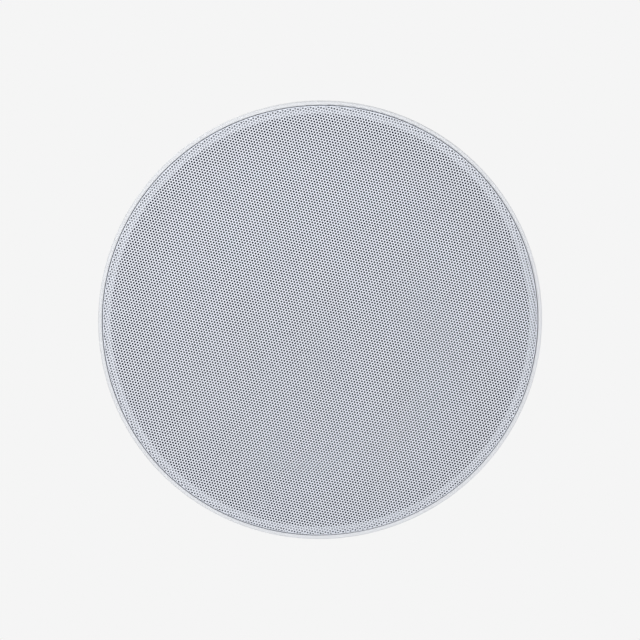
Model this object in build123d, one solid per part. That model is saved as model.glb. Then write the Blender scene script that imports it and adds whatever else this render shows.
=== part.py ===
from build123d import *
import math
import os

os.makedirs("parts", exist_ok=True)

# Round in-ceiling speaker, in mm. Z points up into the ceiling void, the grille faces down, and z = 0 is
# the ceiling plane that the flange bears on.

# Fits
RUN = 0.4
SEAT = 0.3
LIFT = 0.2

# Screws and edges
SMALL_R = 1.5
SMALL_HEAD_R = 3.3
SMALL_HEAD_T = 2.2
PILOT = 0.1
POST_WALL = 2.3
POST_L = 4.0
EDGE = 0.8

# Bezel and flange
BEZEL_R = 115.0
FRONT_DEPTH = 5.0
FLANGE_T = 2.0
FLANGE_W = 13.5
FLANGE_ROUND = 0.6
RIM_W = 2.0
RIM_ROUND = 0.7
LIP_INSET = 6.5
LIP_W = 2.3
LIP_GAP = 0.4

# Grille
SHEET_T = 0.7
GRILLE_RECESS = 0.2
GRILLE_ROUND = 0.5
SCRIM_T = 0.3
HOLE_PITCH = 19.0
HOLE_R = 5.4
HOLE_TURN = 15.0
HOLE_EDGE = 2.0
MAGNETS = 8
MAGNET_R = 3.4
MAGNET_T = 1.7
CUP_WALL = 0.9
CUP_LOW = 0.5

# Barrel and baffle
BARREL_WALL = 2.5
BARREL_H = 10.0
BARREL_ROUND = 1.2
BAFFLE_T = 3.0
STIFFENERS = 5
STIFFENER_TURN = 30.0
STIFFENER_STEP = 7.5
STIFFENER_GAP = 3.0
STIFFENER_T = 1.6
STIFFENER_H = 3.0

# Clamps
CLAMPS = 4
CLAMP_TURN = 45.0
CLAMP_INSET = 8.5
SCREW_R = 2.2
HEAD_R = 4.6
HEAD_T = 3.0
TIP_L = 2.0
BUSH_WALL = 1.0
COLLAR_T = 0.9
HUB_R = 5.5
DOG_H = 12.0
DOG_W = 10.0
DOG_REACH = 22.0
DOG_TOE_H = 6.0
DOG_TRAVEL = 32.0
DOG_LOW = 1.8
DOG_ROUND = 2.0
DOG_RIBS = 3
RIB_PITCH = 3.0
RIB_GAP = 1.2
RIB_H = 0.8
TOWER_T = 2.0
TOWER_W = 9.0
TOWER_GAP = 2.0
TOWER_ROUND = 0.9
GUSSET_W = 9.0
GUSSET_H = 26.0
STOP_GAP = 1.2
TOP_T = 3.0

# Woofer
GASKET_T = 1.0
GASKET_W = 2.5
BASKET_T = 1.6
BASKET_GAP = 2.5
BASKET_RIM_W = 8.0
EARS = 4
EAR_TURN = 65.0
EAR_OUT = 4.5
EAR_W = 13.0
EAR_ROUND = 3.0
WINDOWS = 6
WINDOW_DEG = 42.0
WINDOW_TOP = 6.0
WINDOW_H = 15.0
WINDOW_ROUND = 3.5
BEAD_W = 7.0
BEAD_T = 1.2
BEAD_END = 0.14
BEAD_SLOPE = 0.05
LEG_FOOT = 3.5
PAN_WALL = 2.6
PAN_DEPTH = 8.5
SHELF_W = 6.4
SHELF_GLUE = 5.0
SURROUND_T = 0.8
ROLL_R = 6.0
LIP_FLAT = 3.5
CONE_T = 0.7
CONE_DEPTH = 27.0
SHELF_BACK = 7.0
CAP_OUT = 6.0
CAP_H = 4.5
COIL_R = 13.0
FORMER_T = 0.3
FORMER_UP = 1.0
COIL_T = 0.6
COIL_H = 12.0
MAG_GAP = 0.5
PAN_HOLE = 5.0
SPIDER_T = 0.5
SPIDER_WAVE = 1.6
SPIDER_GLUE = 3.0
SPIDER_RIDGES = 4
PLATE_T = 6.0
PLATE_IN = 5.5
FERRITE_T = 16.5
FERRITE_R = 47.5
FERRITE_IN_R = 24.0
BACK_IN = 3.5
VENT_R = 4.0
STRIP_L = 24.0
STRIP_H = 12.0
STRIP_T = 1.6
TAG_W = 4.0
TAG_T = 0.8

# Tweeter
BALL_R = 22.0
BALL_Z = 12.0
BALL_FRONT = 7.0
BALL_BACK = 11.0
BALL_SKIN = 2.5
RING_T = 4.4
RING_H = 10.0
DOME_R = 12.5
DOME_H = 4.0
DOME_EDGE = 3.2
FLARE = 1.2
TWEET_COIL_H = 4.0
TWEET_MAGNET_T = 5.0
TWEET_POLE_T = 2.2
TWEET_CUP_T = 3.0
PIN_R = 2.0
PIN_IN = 4.0
ARM_W = 12.0
ARM_T = 3.2
ARM_GAP = 1.2
ARM_BEND = 6.0
FOOT_OUT = 12.5
FOOT_SCREW = 8.0

# Crossover
BOARD_T = 1.6
BOARD_EDGE_X = 11.0
BOARD_EDGE_Y = 7.0
BOARD_ROUND = 3.0
POST_R = 3.0
POST_H = 6.0
POST_BORE = 1.2
BOARD_SCREW_R = 1.1
BOARD_HEAD_R = 2.8
BOARD_HEAD_T = 1.8
PART_GAP = 1.4
BOBBIN_R = 14.0
BOBBIN_H = 17.0
BOBBIN_T = 1.5
CORE_R = 4.0
CAN_R = 6.0
CAN_L = 24.0
CAN_ROUND = 1.0
BRICK_X = 21.0
BRICK_Y = 9.0
BRICK_H = 9.0
BRICK_EDGE = 0.6
BLOCK_X = 32.0
BLOCK_Y = 20.0
BLOCK_H = 16.5
BLOCK_OUT = 2.0
KEY_X = 10.0
KEY_Y = 8.0
KEY_H = 10.0
KEY_UP = 3.0
KEY_BACK = 2.5
KEY_TRAVEL = 2.5
WIRE_R = 1.8
WIRE_UP = 3.6
WIRE_DEPTH = 12.0

# Radii that follow from the bezel's
LIP_IN_R = BEZEL_R - LIP_INSET
GRILLE_R = BEZEL_R - RIM_W - RUN
BARREL_R = BEZEL_R - FLANGE_W
BARREL_IN_R = BARREL_R - BARREL_WALL
CLAMP_R = BARREL_R - CLAMP_INSET
BASKET_R = CLAMP_R - HUB_R - TOWER_T - BASKET_GAP
EAR_R = BASKET_R + EAR_OUT
MOUTH_R = BASKET_R - GASKET_W
FOOT_IN_R = MOUTH_R + GASKET_W - GASKET_T
FOOT_OUT_R = MOUTH_R + FOOT_OUT
FOOT_SCREW_R = MOUTH_R + FOOT_SCREW
BASKET_IN_R = BASKET_R - BASKET_RIM_W
CONE_R = BASKET_IN_R - 2 * ROLL_R
CONE_EDGE_R = CONE_R - LIP_FLAT
CONE_SLOPE = CONE_DEPTH / (CONE_EDGE_R - COIL_R)

# Radii that follow from the magnet's
PLATE_R = FERRITE_R - PLATE_IN
BACK_R = FERRITE_R - BACK_IN
PAN_R = PLATE_R + PAN_WALL
BOLT_R = 0.72 * PLATE_R
POST_X = 0.7 * BACK_R
POST_Y = 0.57 * BACK_R
BOARD_X = 2 * (POST_X + BOARD_EDGE_X)
BOARD_Y = 2 * (POST_Y + BOARD_EDGE_Y)

# Levels
RIM_Z = -FRONT_DEPTH
SHEET_Z = RIM_Z + GRILLE_RECESS
SCRIM_Z = SHEET_Z + SHEET_T
GROOVE_Z = -FLANGE_T
LIP_Z = SCRIM_Z + LIP_GAP
ARM_Z = SCRIM_Z + SCRIM_T + ARM_GAP
BAFFLE_Z = BARREL_H - BAFFLE_T
BASKET_Z = BARREL_H + GASKET_T
NECK_Z = BASKET_Z + CONE_DEPTH
SHELF_Z = NECK_Z + SHELF_BACK
PLATE_Z = SHELF_Z + PAN_DEPTH
COIL_Z = PLATE_Z + PLATE_T / 2
FERRITE_Z = PLATE_Z + PLATE_T
BACK_Z = FERRITE_Z + FERRITE_T
POST_Z = BACK_Z + PLATE_T
BOARD_Z = POST_Z + POST_H
PARTS_Z = BOARD_Z + BOARD_T
DOG_Z = BARREL_H + DOG_LOW + DOG_TRAVEL
TOWER_Z = DOG_Z + DOG_H + TOWER_GAP
TOWER_TOP_Z = TOWER_Z + TOP_T
DOME_Z = BALL_Z - BALL_FRONT / 2
TWEET_BACK_Z = BALL_Z + BALL_BACK - BALL_SKIN
BLOCK_Z = PARTS_Z + BLOCK_H


def disc(radius, low, high):
    """A round plate about Z between two levels."""
    return Pos(0, 0, low) * Cylinder(radius, high - low, align=(Align.CENTER, Align.CENTER, Align.MIN))


def ring(outer, inner, low, high):
    """A flat ring about Z between two levels."""
    return disc(outer, low, high) - disc(inner, low - 1, high + 1)


def block(x0, x1, y0, y1, z0, z1):
    """A box between two corners."""
    return Pos(x0, y0, z0) * Box(x1 - x0, y1 - y0, z1 - z0, align=(Align.MIN, Align.MIN, Align.MIN))


def turned(*points):
    """A solid turned about Z from (radius, level) points."""
    return revolve(Plane.XZ * make_face(Polyline(*points, close=True)), Axis.Z)


def around(count, start, shape):
    """Copies of a shape evenly about Z."""
    return [Rot(0, 0, start + 360 * k / count) * shape for k in range(count)]


def fused(shapes):
    """One solid from shapes that touch."""
    body = shapes[0]
    for shape in shapes[1:]:
        body = body + shape
    return body


def cut(body, shapes):
    """A body with several shapes taken out of it."""
    for shape in shapes:
        body = body - shape
    return body


def pan_screw(radius, length, head_r, head_t):
    """A pan-head screw on Z with its seat at z = 0, its shank down and a cross in its head."""
    head = disc(head_r, 0, head_t)
    head = fillet(head.edges().group_by(Axis.Z)[-1], 0.4 * head_t)
    bar = 0.22 * head_r
    cross = block(-0.6 * head_r, 0.6 * head_r, -bar, bar, 0.5 * head_t, head_t + 1)
    return head - cross - Rot(0, 0, 90) * cross + disc(radius, -length, 0)


def tower():
    """One clamp tower at angle 0: inner wall, stop wall, gusset and the plate that bears the screw."""
    inner = CLAMP_R - HUB_R - 2 * SEAT - TOWER_T
    outer = CLAMP_R + HUB_R
    side = DOG_W / 2 + STOP_GAP
    edge = side + TOWER_T
    top = TOWER_TOP_Z
    wall = block(inner, inner + TOWER_T, -TOWER_W, edge, BAFFLE_Z, top)
    stop = block(inner, outer, side, edge, BAFFLE_Z, top)
    plate = block(inner, outer, -TOWER_W, edge, TOWER_Z, top)
    body = wall + stop + plate
    body = fillet(body.edges().filter_by(Axis.Z).group_by(Axis.Y)[-1], TOWER_ROUND)
    body = fillet(body.edges().group_by(Axis.Z)[-1], TOWER_ROUND)
    foot = side + TOWER_T / 2
    peak = BARREL_H + GUSSET_H
    corner = Polyline((foot, BAFFLE_Z), (edge + GUSSET_W, BAFFLE_Z), (foot, peak), close=True)
    gusset = extrude(Plane.YZ * make_face(corner), TOWER_T / 2, both=True)
    return body + Pos(CLAMP_R, 0, 0) * gusset


def stiffeners():
    """Ribs across the baffle's back, from each ear to the next clamp."""
    near = BASKET_R + STIFFENER_GAP
    far = BARREL_IN_R
    top = BARREL_H + STIFFENER_H
    line = Polyline(
        (near, BAFFLE_Z),
        (far, BAFFLE_Z),
        (far, BARREL_H),
        (far - STIFFENER_H, top),
        (near + STIFFENER_H, top),
        (near, BARREL_H),
        close=True,
    )
    rib = extrude(Plane.XZ * make_face(line), STIFFENER_T / 2, both=True)
    turns = [CLAMP_TURN + STIFFENER_TURN + STIFFENER_STEP * k for k in range(STIFFENERS)]
    return [one for turn in turns for one in around(CLAMPS, turn, rib)]


def frame():
    """The moulded frame: bezel, groove, lip, flange, barrel, baffle, towers, bosses and magnet cups."""
    inner = BARREL_IN_R
    rim = BEZEL_R - RIM_W
    body = turned(
        (MOUTH_R, BAFFLE_Z),
        (inner, BAFFLE_Z),
        (inner, GROOVE_Z),
        (LIP_IN_R, GROOVE_Z),
        (LIP_IN_R, LIP_Z),
        (LIP_IN_R + LIP_W, LIP_Z),
        (LIP_IN_R + LIP_W, GROOVE_Z),
        (rim, GROOVE_Z),
        (rim, RIM_Z),
        (BEZEL_R, RIM_Z),
        (BEZEL_R, 0),
        (BARREL_R, 0),
        (BARREL_R, BARREL_H),
        (MOUTH_R, BARREL_H),
    )
    body = fillet(body.edges().group_by(Axis.Z)[0], RIM_ROUND)
    body = fillet(body.edges().group_by(Axis.Z)[-1].sort_by(SortBy.RADIUS)[-1], BARREL_ROUND)
    body = fillet(body.edges().filter_by_position(Axis.Z, 0, 0).sort_by(SortBy.RADIUS)[-1], FLANGE_ROUND)
    towers = around(CLAMPS, CLAMP_TURN, tower())
    post_r = SMALL_R + PILOT + POST_WALL
    post = Pos(EAR_R, 0, 0) * disc(post_r, BAFFLE_Z - POST_L, BAFFLE_Z)
    foot_post = Pos(FOOT_SCREW_R, 0, 0) * disc(post_r, BARREL_H, BARREL_H + POST_L)
    cup_r = MAGNET_R + LIFT / 2
    place = Pos((inner + LIP_IN_R) / 2, 0, 0)
    cup = place * ring(cup_r + CUP_WALL, cup_r, GROOVE_Z - MAGNET_T + CUP_LOW, GROOVE_Z)
    adds = towers + stiffeners() + around(EARS, EAR_TURN, post) + around(2, 0, foot_post)
    body = fused([body] + adds + around(MAGNETS, 180 / MAGNETS, cup))
    bearing = Pos(CLAMP_R, 0, 0) * disc(SCREW_R + RUN, BAFFLE_Z - TOP_T, TOWER_TOP_Z + TOP_T)
    pilot = SMALL_R + PILOT
    ear_hole = Pos(EAR_R, 0, 0) * disc(pilot, BAFFLE_Z - POST_L + EDGE, BARREL_H + EDGE)
    foot_hole = Pos(FOOT_SCREW_R, 0, 0) * disc(pilot, BAFFLE_Z - EDGE, BARREL_H + POST_L - EDGE)
    holes = around(CLAMPS, CLAMP_TURN, bearing) + around(EARS, EAR_TURN, ear_hole) + around(2, 0, foot_hole)
    return cut(body, holes)


def grille():
    """The perforated sheet with its edge folded back into the groove."""
    sheet = disc(GRILLE_R, SHEET_Z, SCRIM_Z) + ring(GRILLE_R, GRILLE_R - SHEET_T, SHEET_Z, GROOVE_Z)
    sheet = fillet(sheet.edges().group_by(Axis.Z)[0], GRILLE_ROUND)
    reach = int(GRILLE_R / HOLE_PITCH) + 2
    holes = []
    for row in range(-reach, reach + 1):
        for column in range(-reach, reach + 1):
            x = HOLE_PITCH * (column + row / 2)
            y = HOLE_PITCH * row * math.sqrt(3) / 2
            if math.hypot(x, y) + HOLE_R + HOLE_EDGE < GRILLE_R - SHEET_T:
                holes.append(Pos(x, y, SHEET_Z + SHEET_T / 2) * Cylinder(HOLE_R, 3 * SHEET_T))
    return sheet - Rot(0, 0, HOLE_TURN) * Compound(holes)


def grille_magnets():
    """Disc magnets in the flange's cups."""
    one = Pos((BARREL_IN_R + LIP_IN_R) / 2, 0, 0) * disc(MAGNET_R, GROOVE_Z - MAGNET_T, GROOVE_Z)
    return around(MAGNETS, 180 / MAGNETS, one)


def ear(low, high):
    """One mounting ear at angle 0."""
    end = EAR_R + EAR_OUT
    plate = block(BASKET_R - EAR_ROUND, end, -EAR_W / 2, EAR_W / 2, low, high)
    return fillet(plate.edges().filter_by(Axis.Z).group_by(Axis.X)[-1], EAR_ROUND)


def ear_holes(radius):
    """Screw holes through the ears."""
    return around(EARS, EAR_TURN, Pos(EAR_R, 0, 0) * disc(radius, 0, PLATE_Z))


def leg_bead():
    """The bead pressed out of one leg, at angle 0, with sloping ends."""
    foot = Vector(BASKET_IN_R + LEG_FOOT, BASKET_Z + BASKET_T)
    leg = Vector(PAN_R, SHELF_Z + BASKET_T / 2) - foot
    out = Vector(leg.Y, -leg.X).normalized() * BEAD_T
    line = [
        foot + leg * BEAD_END - out / 2,
        foot + leg * (BEAD_END + BEAD_SLOPE) + out,
        foot + leg * (1 - BEAD_END - BEAD_SLOPE) + out,
        foot + leg * (1 - BEAD_END) - out / 2,
    ]
    skin = turned(*[(point.X, point.Y) for point in line])
    return skin & block(0, BASKET_R, -BEAD_W / 2, BEAD_W / 2, BASKET_Z, PLATE_Z)


def basket_window():
    """The cutter for one window at angle 0, with round corners."""
    half = math.radians(WINDOW_DEG / 2)
    far = 1.1 * BASKET_R
    wedge = make_face(
        Polyline((0, 0), (far, -far * math.tan(half)), (far, far * math.tan(half)), close=True)
    )
    low = BASKET_Z + BASKET_T + WINDOW_TOP
    window = Pos(0, 0, low) * extrude(wedge, WINDOW_H) - disc(PAN_R + LEG_FOOT, 0, PLATE_Z)
    straight = window.edges().filter_by(GeomType.LINE)
    return fillet([edge for edge in straight if abs((edge % 0).X) > math.sin(half)], WINDOW_ROUND)


def basket():
    """The pressed basket: flange with ears, six beaded legs, spider shelf and motor pan."""
    low = BASKET_Z
    end = low + BASKET_T
    body = turned(
        (BASKET_IN_R, low),
        (BASKET_R, low),
        (BASKET_R, end),
        (BASKET_IN_R + LEG_FOOT, end),
        (PAN_R, SHELF_Z + BASKET_T / 2),
        (PAN_R, PLATE_Z),
        (COIL_R + PAN_HOLE, PLATE_Z),
        (COIL_R + PAN_HOLE, PLATE_Z - BASKET_T),
        (PAN_R - BASKET_T, PLATE_Z - BASKET_T),
        (PAN_R - BASKET_T, SHELF_Z + BASKET_T),
        (PAN_R - BASKET_T - SHELF_W, SHELF_Z + BASKET_T),
        (PAN_R - BASKET_T - SHELF_W, SHELF_Z),
        (PAN_R - BASKET_T - SEAT, SHELF_Z),
        (BASKET_IN_R, end + BASKET_T / 2),
    )
    beads = around(WINDOWS, 180 / WINDOWS, leg_bead())
    body = fused([body] + around(EARS, EAR_TURN, ear(low, end)) + beads)
    screws = Pos(BOLT_R, 0, 0) * disc(SCREW_R, PLATE_Z - 2 * BASKET_T, PLATE_Z + BASKET_T)
    body = cut(body, around(WINDOWS, 0, basket_window()) + around(4, 45, screws))
    return cut(body, ear_holes(SCREW_R))


def basket_gasket():
    """The foam gasket between basket and baffle."""
    body = ring(BASKET_R, MOUTH_R + SEAT, BARREL_H, BASKET_Z)
    body = fused([body] + around(EARS, EAR_TURN, ear(BARREL_H, BASKET_Z)))
    return cut(body, ear_holes(SCREW_R) + [disc(MOUTH_R + SEAT, 0, PLATE_Z)])


def basket_screws():
    """Screws through the ears into the baffle's posts."""
    seat = BASKET_Z + BASKET_T
    length = seat - BAFFLE_Z + POST_L - 2 * EDGE
    screw = Pos(EAR_R, 0, seat) * pan_screw(SMALL_R, length, SMALL_HEAD_R, SMALL_HEAD_T)
    return around(EARS, EAR_TURN, screw)


def surround():
    """The half-roll rubber surround with a flat lip each side."""
    mid = BASKET_Z - SURROUND_T / 2
    centre = BASKET_IN_R - ROLL_R
    outer = ROLL_R + SURROUND_T / 2
    inner = ROLL_R - SURROUND_T / 2
    half = Pos(0, -outer) * Rectangle(4 * outer, 2 * outer)
    roll = Pos(centre, mid) * ((Circle(outer) - Circle(inner)) & half)
    wide = MOUTH_R - SEAT - BASKET_IN_R + SURROUND_T / 2
    lip = Pos(centre + inner + wide / 2, mid) * Rectangle(wide, SURROUND_T)
    inset = LIP_FLAT + SURROUND_T / 2
    glue = Pos(centre - inner - inset / 2, mid) * Rectangle(inset, SURROUND_T)
    return revolve(Plane.XZ * (roll + lip + glue), Axis.Z)


def cone():
    """The cone from the surround to the coil former."""
    edge = CONE_EDGE_R
    lift = CONE_T * math.hypot(1, CONE_SLOPE)
    return turned(
        (edge, BASKET_Z),
        (CONE_R - SURROUND_T, BASKET_Z),
        (CONE_R - SURROUND_T, BASKET_Z + CONE_T),
        (edge, BASKET_Z + lift),
        (COIL_R, NECK_Z + lift),
        (COIL_R, NECK_Z),
    )


def dust_cap():
    """The shallow cap over the coil."""
    edge = COIL_R + CAP_OUT
    low = NECK_Z - CAP_OUT * CONE_SLOPE - LIFT
    radius = (edge**2 + CAP_H**2) / (2 * CAP_H)
    ball = Sphere(radius) - Sphere(radius - CONE_T)
    return Pos(0, 0, low - CAP_H + radius) * ball & disc(edge, 0, low)


def coil_former():
    """The tube that carries the coil."""
    return ring(COIL_R, COIL_R - FORMER_T, NECK_Z - FORMER_UP, COIL_Z + COIL_H / 2)


def voice_coil():
    """The copper winding, centred on the top plate."""
    return ring(COIL_R + COIL_T, COIL_R, COIL_Z - COIL_H / 2, COIL_Z + COIL_H / 2)


def spider():
    """The corrugated cloth between former and basket shelf."""
    low = SHELF_Z - SPIDER_T
    start = COIL_R + SPIDER_GLUE
    end = PAN_R - BASKET_T - SHELF_GLUE
    step = (end - start) / (2 * SPIDER_RIDGES)
    front = [(COIL_R, low), (start, low)]
    for k in range(1, 2 * SPIDER_RIDGES):
        front.append((start + k * step, low - (SPIDER_WAVE if k % 2 else 0)))
    front += [(end, low), (PAN_R - 2 * BASKET_T, low)]
    back = [(r, z + SPIDER_T) for r, z in reversed(front)]
    return turned(*front, *back)


def top_plate():
    """The steel front plate of the motor."""
    return chamfered(ring(PLATE_R, COIL_R + COIL_T + MAG_GAP, PLATE_Z, FERRITE_Z), PLATE_R, EDGE)


def ring_magnet():
    """The ferrite ring."""
    return chamfered(ring(FERRITE_R, FERRITE_IN_R, FERRITE_Z, BACK_Z), FERRITE_R, EDGE)


def back_plate():
    """The steel back plate with its vented pole."""
    plate = chamfered(disc(BACK_R, BACK_Z, POST_Z), BACK_R, EDGE)
    pole = disc(COIL_R - FORMER_T - MAG_GAP, PLATE_Z, BACK_Z)
    return plate + pole - disc(VENT_R, PLATE_Z - EDGE, POST_Z + EDGE)


def chamfered(body, radius, size):
    """A round plate with its outer edges broken."""
    edges = [e for e in body.edges().filter_by(GeomType.CIRCLE) if abs(e.radius - radius) < 0.01]
    return chamfer(edges, size)


def motor_screws():
    """Screws through the basket pan into the top plate."""
    seat = PLATE_Z - BASKET_T
    screw = Rot(180, 0, 0) * pan_screw(SMALL_R, BASKET_T, SMALL_HEAD_R, SMALL_HEAD_T)
    return around(4, 45, Pos(BOLT_R, 0, seat) * screw)


def tag_strip():
    """The insulating strip for the coil's tags, standing on the basket's flange."""
    seat = BASKET_Z + BASKET_T
    outer = BASKET_R - EDGE
    half = STRIP_L / 2
    return Rot(0, 0, -90) * block(outer - STRIP_T, outer, -half, half, seat, seat + STRIP_H)


def coil_tags():
    """Two brass solder tags on the strip."""
    seat = BASKET_Z + BASKET_T
    outer = BASKET_R - EDGE
    tags = []
    for side in (-1, 1):
        y = side * STRIP_L / 4
        low = seat + STRIP_H / 3
        tag = block(outer, outer + TAG_T, y - TAG_W / 2, y + TAG_W / 2, low, low + STRIP_H)
        tags.append(Rot(0, 0, -90) * tag)
    return tags


def tweeter_bridge():
    """The bar across the woofer's mouth with the ring that holds the tweeter."""
    hub = BALL_R + 1.5 * RUN
    low = BALL_Z - RING_H / 2
    flat = CONE_R - ARM_BEND
    body = ring(hub + RING_T, hub, low, low + RING_H)
    arm = make_face(
        Polyline(
            (FOOT_OUT_R, BAFFLE_Z),
            (FOOT_OUT_R, ARM_Z),
            (flat, ARM_Z),
            (hub + RING_T / 2, low),
            (hub + RING_T / 2, low + 1.5 * ARM_T),
            (flat + ARM_T / 2, ARM_Z + ARM_T),
            (FOOT_IN_R, ARM_Z + ARM_T),
            (FOOT_IN_R, BAFFLE_Z),
            close=True,
        )
    )
    bar = extrude(Plane.XZ * arm, ARM_W / 2, both=True)
    body = fused([body] + around(2, 0, bar))
    at_screw = Pos(FOOT_SCREW_R, 0, 0)
    body = cut(body, around(2, 0, at_screw * disc(SMALL_R + SEAT, RIM_Z, BAFFLE_Z + EDGE)))
    body = cut(body, around(2, 0, at_screw * disc(SMALL_HEAD_R + SEAT, RIM_Z, ARM_Z + ARM_T)))
    body = body - disc(hub, low - RING_T, low + RING_H + RING_T)
    hole = Rot(0, 90, 0) * Cylinder(PIN_R + PILOT, 3 * RING_T)
    return cut(body, around(2, 0, Pos(hub, 0, BALL_Z) * hole))


def bridge_screws():
    """Screws through the bridge's feet into the baffle."""
    seat = ARM_Z + ARM_T
    length = BARREL_H + POST_L - 2 * EDGE - seat
    screw = Rot(180, 0, 0) * pan_screw(SMALL_R, length, SMALL_HEAD_R, SMALL_HEAD_T)
    return around(2, 0, Pos(FOOT_SCREW_R, 0, seat) * screw)


def pivot_pins():
    """The two pins on which the tweeter tilts."""
    inner = BALL_R - PIN_IN
    outer = BALL_R + 1.5 * RUN + RING_T
    pin = Rot(0, 90, 0) * Cylinder(PIN_R, outer - inner)
    return around(2, 0, Pos((inner + outer) / 2, 0, BALL_Z) * pin)


def tweeter_housing():
    """The ball-sided housing behind the face ring, with its motor pocket and pivot holes."""
    body = Pos(0, 0, BALL_Z) * Sphere(BALL_R) & disc(BALL_R, DOME_Z, BALL_Z + BALL_BACK)
    body = body - disc(DOME_R + DOME_EDGE + RUN, DOME_Z - EDGE, TWEET_BACK_Z)
    hole = Rot(0, 90, 0) * Cylinder(PIN_R + RUN, 2 * (PIN_IN + RUN))
    return cut(body, around(2, 0, Pos(BALL_R, 0, BALL_Z) * hole))


def tweeter_face():
    """The flared ring round the dome."""
    front = BALL_Z - BALL_FRONT
    body = Pos(0, 0, BALL_Z) * Sphere(BALL_R) & disc(BALL_R, front, DOME_Z)
    wide = BALL_R - RIM_W
    flare = turned((0, front - 1), (wide, front - 1), (DOME_R + FLARE, DOME_Z + 1), (0, DOME_Z + 1))
    return body - flare


def tweeter_dome():
    """The soft dome with its flat edge."""
    radius = (DOME_R**2 + DOME_H**2) / (2 * DOME_H)
    ball = Sphere(radius) - Sphere(radius - SPIDER_T)
    shell = Pos(0, 0, DOME_Z - DOME_H + radius) * ball & disc(DOME_R + 1, DOME_Z - DOME_H - 1, DOME_Z)
    return shell + ring(DOME_R + DOME_EDGE, DOME_R - SPIDER_T, DOME_Z, DOME_Z + SPIDER_T)


def tweeter_coil():
    """The dome's coil."""
    base = DOME_Z + SPIDER_T
    return ring(DOME_R, DOME_R - FORMER_T, base, base + TWEET_COIL_H)


def tweeter_cup():
    """The steel cup of the tweeter's motor."""
    base = DOME_Z + SPIDER_T
    cup = disc(DOME_R + DOME_EDGE, base, TWEET_BACK_Z)
    return cup - disc(DOME_R + RUN, base - EDGE, TWEET_BACK_Z - TWEET_CUP_T)


def tweeter_magnet():
    """The tweeter's disc magnet."""
    top = TWEET_BACK_Z - TWEET_CUP_T
    return disc(DOME_R - RIM_W, top - TWEET_MAGNET_T, top)


def tweeter_pole():
    """The pole plate inside the tweeter's coil."""
    top = TWEET_BACK_Z - TWEET_CUP_T - TWEET_MAGNET_T
    return disc(DOME_R - FORMER_T - RUN, top - TWEET_POLE_T, top)


def clamp_screw():
    """One long clamp screw at angle 0, its head on the front of the baffle."""
    seat = BAFFLE_Z - LIFT
    screw = Rot(180, 0, 0) * pan_screw(SCREW_R, TOWER_TOP_Z + TIP_L - seat, HEAD_R, HEAD_T)
    return Pos(CLAMP_R, 0, seat) * screw


def clamp_bush():
    """The threaded bush on the screw, with a collar over the dog."""
    inner = SCREW_R + RUN
    tube = ring(inner + BUSH_WALL, inner, DOG_Z + SEAT, DOG_Z + DOG_H + SEAT)
    low = DOG_Z + DOG_H + SEAT
    collar = ring(HUB_R - SEAT, inner, low, low + COLLAR_T)
    return Pos(CLAMP_R, 0, 0) * (tube + collar)


def clamp_dog():
    """The dog at angle 0, folded along the tangent, with a ribbed toe."""
    top = DOG_Z + DOG_H
    side = DOG_W / 2
    profile = make_face(
        Polyline(
            (0, DOG_Z),
            (-DOG_REACH, DOG_Z),
            (-DOG_REACH, DOG_Z + DOG_TOE_H),
            (-HUB_R, top),
            (0, top),
            close=True,
        )
    )
    arm = extrude(Plane.YZ * profile, side, both=True)
    arm = fillet(arm.edges().filter_by(Axis.Z).group_by(Axis.Y)[0], DOG_ROUND)
    for k in range(DOG_RIBS):
        y = -DOG_REACH + RIB_PITCH * (k + 1)
        arm = arm - block(-DOG_W, DOG_W, y, y + RIB_GAP, DOG_Z - RIB_H, DOG_Z + RIB_H)
    bore = disc(SCREW_R + BUSH_WALL + 2 * RUN, DOG_Z - EDGE, top + EDGE)
    return Pos(CLAMP_R, 0, 0) * (arm + disc(HUB_R, DOG_Z, top) - bore)


def posts():
    """Places of the crossover board's posts."""
    return [(x, y) for x in (-POST_X, POST_X) for y in (-POST_Y, POST_Y)]


def board_posts():
    """Spacers between the back plate and the crossover board."""
    return [Pos(x, y, 0) * ring(POST_R, POST_BORE, POST_Z, BOARD_Z) for x, y in posts()]


def crossover_board():
    """The crossover's circuit board."""
    body = block(-BOARD_X / 2, BOARD_X / 2, -BOARD_Y / 2, BOARD_Y / 2, BOARD_Z, PARTS_Z)
    body = fillet(body.edges().filter_by(Axis.Z), BOARD_ROUND)
    hole = disc(BOARD_SCREW_R + RUN, BOARD_Z - EDGE, PARTS_Z + EDGE)
    return cut(body, [Pos(x, y, 0) * hole for x, y in posts()])


def board_screws():
    """Screws through the board into its posts."""
    screw = pan_screw(BOARD_SCREW_R, BOARD_T + POST_H - EDGE, BOARD_HEAD_R, BOARD_HEAD_T)
    return [Pos(x, y, PARTS_Z) * screw for x, y in posts()]


def can_ends():
    """The capacitors' low and high x."""
    high = POST_X - BOARD_HEAD_R + PILOT
    return high - CAN_L, high


def inductor_place():
    """Where the inductor stands."""
    return Pos(can_ends()[0] - PART_GAP - BOBBIN_R, POST_Y - BOBBIN_R, PARTS_Z)


def inductor_bobbin():
    """The bobbin of the air-cored inductor."""
    flange = ring(BOBBIN_R, CORE_R, 0, BOBBIN_T)
    tube = ring(CORE_R + BOBBIN_T, CORE_R, 0, BOBBIN_H)
    return inductor_place() * (flange + tube + Pos(0, 0, BOBBIN_H - BOBBIN_T) * flange)


def inductor_winding():
    """The copper winding of the inductor."""
    inner = CORE_R + BOBBIN_T
    return inductor_place() * ring(BOBBIN_R - EDGE, inner, BOBBIN_T, BOBBIN_H - BOBBIN_T)


def capacitors():
    """Two capacitors lying on the board."""
    can = Rot(0, 90, 0) * Cylinder(CAN_R, CAN_L)
    can = fillet(can.edges(), CAN_ROUND)
    x = sum(can_ends()) / 2
    y = POST_Y - BOARD_HEAD_R - CAN_R
    return [Pos(x, y - k * (2 * CAN_R + PART_GAP), PARTS_Z + CAN_R) * can for k in range(2)]


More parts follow.
